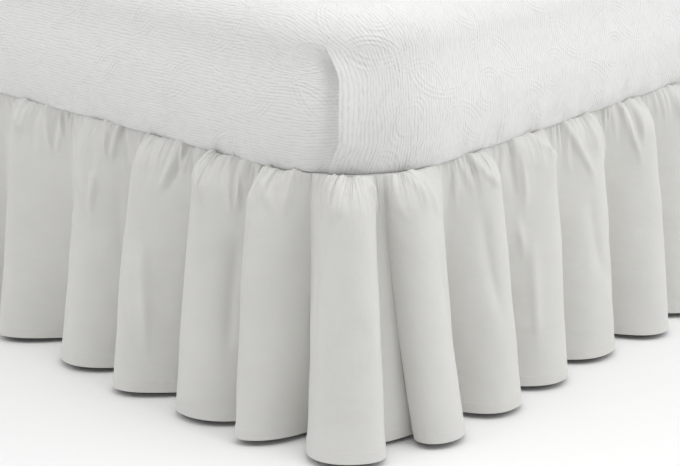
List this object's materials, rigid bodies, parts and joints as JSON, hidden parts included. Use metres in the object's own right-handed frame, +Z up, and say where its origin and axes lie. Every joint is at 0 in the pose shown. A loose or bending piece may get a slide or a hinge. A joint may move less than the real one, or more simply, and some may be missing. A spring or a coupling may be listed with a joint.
{
  "type": "ruffled bed skirt on a bed",
  "caption": "Gathered white bed skirt with a flat deck under the mattress and ruffled panels on both sides and the foot of a plain bed.",
  "frame": {"origin": "centre of the base of the bounding box, on the floor", "axes": "+Z up, +Y toward the head of the bed, +X to the right for someone who stands at the foot and looks toward the head"},
  "size_m": [1.7354, 2.1511, 0.6086],
  "materials": {
    "skirt_cloth": "smooth plain weave, soft matt with a faint sheen on the folds",
    "deck_cloth": "plain matt platform cloth",
    "mattress_cover": "white ribbed quilted cotton, matt",
    "box_spring_cloth": "plain grey-white ticking, matt",
    "frame_steel": "dark brown enamel, satin",
    "glide_plastic": "matt moulded"
  },
  "bodies": {
    "root": {"deck": "deck_cloth", "ruffle_foot": "skirt_cloth", "ruffle_left": "skirt_cloth", "ruffle_right": "skirt_cloth", "mattress": "mattress_cover", "box_spring": "box_spring_cloth", "rail_left": "frame_steel", "rail_right": "frame_steel", "bar_foot": "frame_steel", "bar_middle": "frame_steel", "bar_head": "frame_steel", "leg_foot_left": "frame_steel", "glide_foot_left": "glide_plastic", "leg_foot_right": "frame_steel", "glide_foot_right": "glide_plastic", "leg_middle_left": "frame_steel", "glide_middle_left": "glide_plastic", "leg_middle_right": "frame_steel", "glide_middle_right": "glide_plastic", "leg_head_left": "frame_steel", "glide_head_left": "glide_plastic", "leg_head_right": "frame_steel", "glide_head_right": "glide_plastic"}
  },
  "joints": []
}
